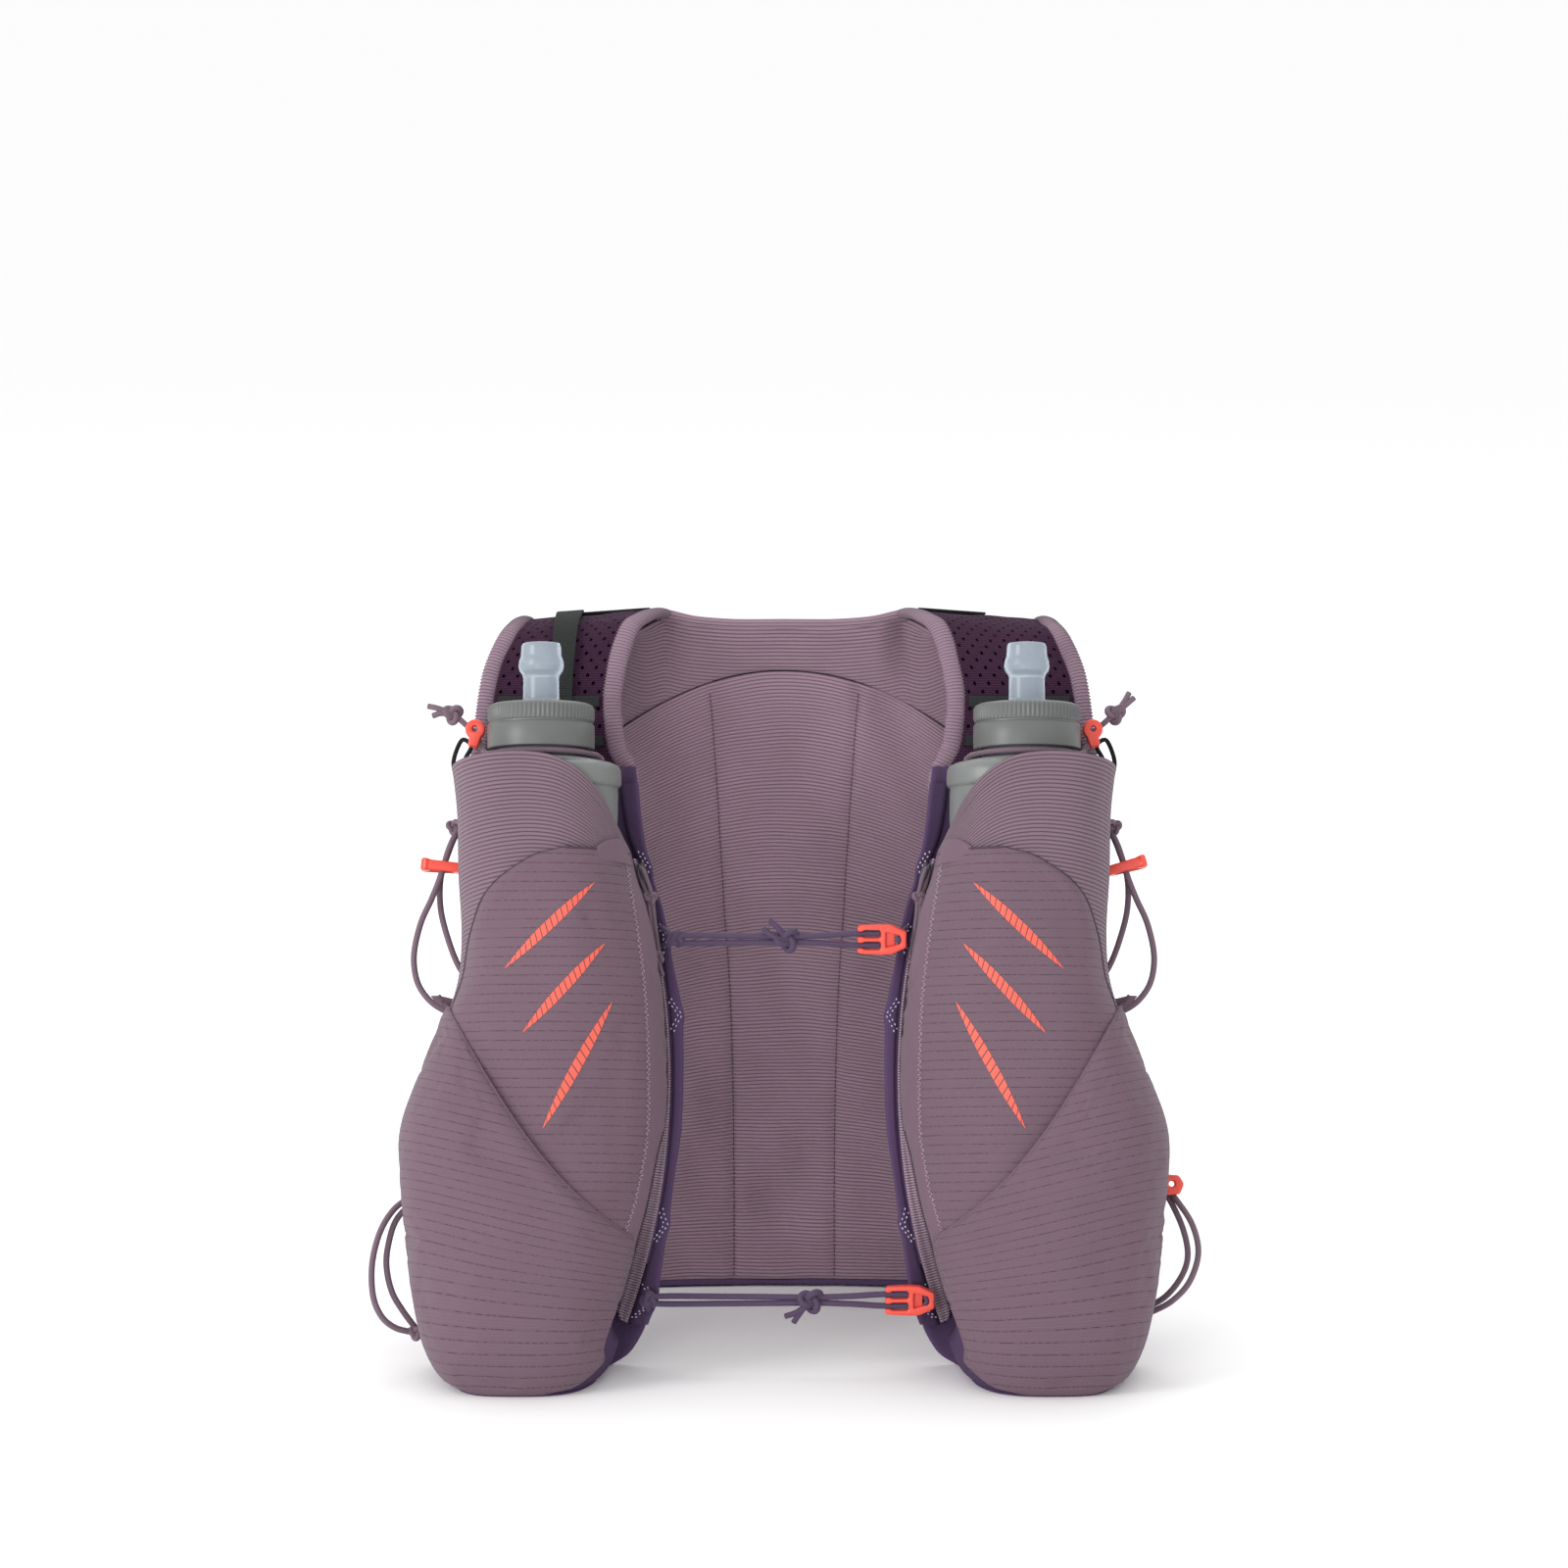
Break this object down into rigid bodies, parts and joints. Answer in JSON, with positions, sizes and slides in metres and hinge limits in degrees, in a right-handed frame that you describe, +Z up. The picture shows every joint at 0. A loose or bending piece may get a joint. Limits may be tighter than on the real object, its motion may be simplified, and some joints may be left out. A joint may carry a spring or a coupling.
{
  "type": "running hydration vest",
  "caption": "Running hydration vest standing on its own: soft flasks in chest pockets, zip and stretch pockets, sternum cords, back bag.",
  "frame": {"origin": "bottom centre of the vest's bounding box, on the floor it stands on", "axes": "+Z up, +X to the right as seen from the front, -Y towards the viewer of the chest side"},
  "size_m": [0.3946, 0.2766, 0.3505],
  "materials": {
    "knit_fabric": "fine plain knit with dark dashed pin lines about 8 mm apart",
    "rib_fabric": "stretch rib knit",
    "back_mesh": "wicking knit with fine horizontal ribs",
    "bag_fabric": "light ripstop nylon",
    "placket_fabric": "indigo woven tape, matt",
    "strap_mesh": "dark spacer mesh with small round holes",
    "binding_tape": "soft ribbed binding tape",
    "webbing": "charcoal woven webbing and coated metal",
    "zip_tape": "zip coil and tape",
    "elastic_cord": "braided elastic cord",
    "sternum_cord": "braided elastic cord",
    "coral_plastic": "moulded plastic, satin",
    "cap_plastic": "moulded plastic, fine knurl on its upper tier",
    "flask_film": "translucent soft film, grey",
    "valve_silicone": "translucent silicone"
  },
  "bodies": {
    "back": {"back_panel": "back_mesh", "hem_band": "placket_fabric", "yoke": "rib_fabric", "collar_binding": "binding_tape", "main_bag": "bag_fabric", "stash_pocket": "bag_fabric", "bag_zip_coil": "zip_tape", "left_side_wing": "strap_mesh", "right_side_wing": "strap_mesh"},
    "bag_zip_slider": {"bag_zip_slider": "webbing"},
    "bag_zip_pull": {"bag_zip_pull": "coral_plastic"},
    "left_front": {"left_harness_panel": "placket_fabric", "left_zip_pocket": "knit_fabric", "left_stretch_pocket": "knit_fabric", "left_flask_pocket": "rib_fabric", "left_placket": "placket_fabric", "left_zip_coil": "zip_tape", "left_upper_side_cord": "elastic_cord", "left_lower_side_cord": "elastic_cord", "left_lower_side_toggle": "coral_plastic", "left_shoulder_strap": "strap_mesh", "left_strap_webbing": "webbing", "left_inner_binding": "binding_tape", "left_outer_binding": "binding_tape", "left_flask_bungee": "elastic_cord", "left_bungee_toggle": "coral_plastic"},
    "left_flask": {"left_flask": "flask_film"},
    "left_cap": {"left_flask_cap": "cap_plastic", "left_bite_valve": "valve_silicone"},
    "left_zip_slider": {"left_zip_slider": "webbing"},
    "left_zip_pull": {"left_zip_pull": "elastic_cord"},
    "left_side_pull": {"left_side_pull": "coral_plastic"},
    "right_front": {"right_harness_panel": "placket_fabric", "right_zip_pocket": "knit_fabric", "right_stretch_pocket": "knit_fabric", "right_flask_pocket": "rib_fabric", "right_placket": "placket_fabric", "right_zip_coil": "zip_tape", "right_upper_side_cord": "elastic_cord", "right_lower_side_cord": "elastic_cord", "right_lower_side_toggle": "coral_plastic", "right_shoulder_strap": "strap_mesh", "right_inner_binding": "binding_tape", "right_outer_binding": "binding_tape", "right_flask_bungee": "elastic_cord", "right_bungee_toggle": "coral_plastic"},
    "right_flask": {"right_flask": "flask_film"},
    "right_cap": {"right_flask_cap": "cap_plastic", "right_bite_valve": "valve_silicone"},
    "right_zip_slider": {"right_zip_slider": "webbing"},
    "right_zip_pull": {"right_zip_pull": "elastic_cord"},
    "right_side_pull": {"right_side_pull": "coral_plastic"},
    "upper_sternum": {"upper_sternum_cord": "sternum_cord", "upper_sternum_hook": "coral_plastic"},
    "lower_sternum": {"lower_sternum_cord": "sternum_cord", "lower_sternum_hook": "coral_plastic"}
  },
  "joints": [
    {"name": "left_panel_swing", "type": "hinge", "parent": "back", "child": "left_front", "pos_m": [-0.105, 0.0573, 0], "axis": [0, 0, -1], "range_deg": [0, 28]},
    {"name": "left_flask_lift", "type": "slide", "parent": "left_front", "child": "left_flask", "axis": [0, 0.2672, 0.9636], "range_m": [0, 0.2], "deforming": ["left_flask_bungee"]},
    {"name": "left_cap_turn", "type": "hinge", "parent": "left_flask", "child": "left_cap", "pos_m": [-0.116, -0.06882, 0.19593], "axis": [0, 0.2672, 0.9636], "range_deg": [0, 450]},
    {"name": "left_zip_run", "type": "hinge", "parent": "left_front", "child": "left_zip_slider", "pos_m": [-0.39, -0.07248, 0.1378], "axis": [0, 0.9636, -0.2672], "range_deg": [0, 23.5]},
    {"name": "left_zip_pull_turn", "type": "hinge", "parent": "left_zip_slider", "child": "left_zip_pull", "pos_m": [-0.06821, -0.04555, 0.23306], "axis": [0, -0.9636, 0.2672], "range_deg": [0, 23.5]},
    {"name": "left_side_pull_slide", "type": "slide", "parent": "left_front", "child": "left_side_pull", "axis": [0.2886, 0.2559, 0.9226], "range_m": [-0.004, 0.005]},
    {"name": "right_panel_swing", "type": "hinge", "parent": "back", "child": "right_front", "pos_m": [0.105, 0.0573, 0], "axis": [0, 0, 1], "range_deg": [0, 28]},
    {"name": "right_flask_lift", "type": "slide", "parent": "right_front", "child": "right_flask", "axis": [0, 0.2672, 0.9636], "range_m": [0, 0.2], "deforming": ["right_flask_bungee"]},
    {"name": "right_cap_turn", "type": "hinge", "parent": "right_flask", "child": "right_cap", "pos_m": [0.116, -0.06882, 0.19593], "axis": [0, 0.2672, 0.9636], "range_deg": [0, 450]},
    {"name": "right_zip_run", "type": "hinge", "parent": "right_front", "child": "right_zip_slider", "pos_m": [0.39, -0.07248, 0.1378], "axis": [0, -0.9636, 0.2672], "range_deg": [0, 23.5]},
    {"name": "right_zip_pull_turn", "type": "hinge", "parent": "right_zip_slider", "child": "right_zip_pull", "pos_m": [0.06821, -0.04555, 0.23306], "axis": [0, 0.9636, -0.2672], "range_deg": [0, 23.5]},
    {"name": "right_side_pull_slide", "type": "slide", "parent": "right_front", "child": "right_side_pull", "axis": [-0.2886, 0.2559, 0.9226], "range_m": [-0.004, 0.005]},
    {"name": "upper_sternum_swing", "type": "hinge", "parent": "left_front", "child": "upper_sternum", "pos_m": [-0.053, -0.0607, 0.203], "axis": [0, 0, -1], "range_deg": [0, 80]},
    {"name": "lower_sternum_swing", "type": "hinge", "parent": "left_front", "child": "lower_sternum", "pos_m": [-0.066, -0.0967, 0.0352], "axis": [0, 0, -1], "range_deg": [0, 80]},
    {"name": "bag_zip_run", "type": "hinge", "parent": "back", "child": "bag_zip_slider", "pos_m": [0, 0.12587, 0.196], "axis": [0, 1, 0], "range_deg": [0, 124]},
    {"name": "bag_zip_pull_swing", "type": "hinge", "parent": "bag_zip_slider", "child": "bag_zip_pull", "pos_m": [-0.07329, 0.13107, 0.23497], "axis": [0, 1, 0], "continuous": true}
  ],
  "couplings": [
    {"joint": "left_zip_pull_turn", "follows": "left_zip_run", "ratio": 1},
    {"joint": "right_zip_pull_turn", "follows": "right_zip_run", "ratio": 1}
  ]
}
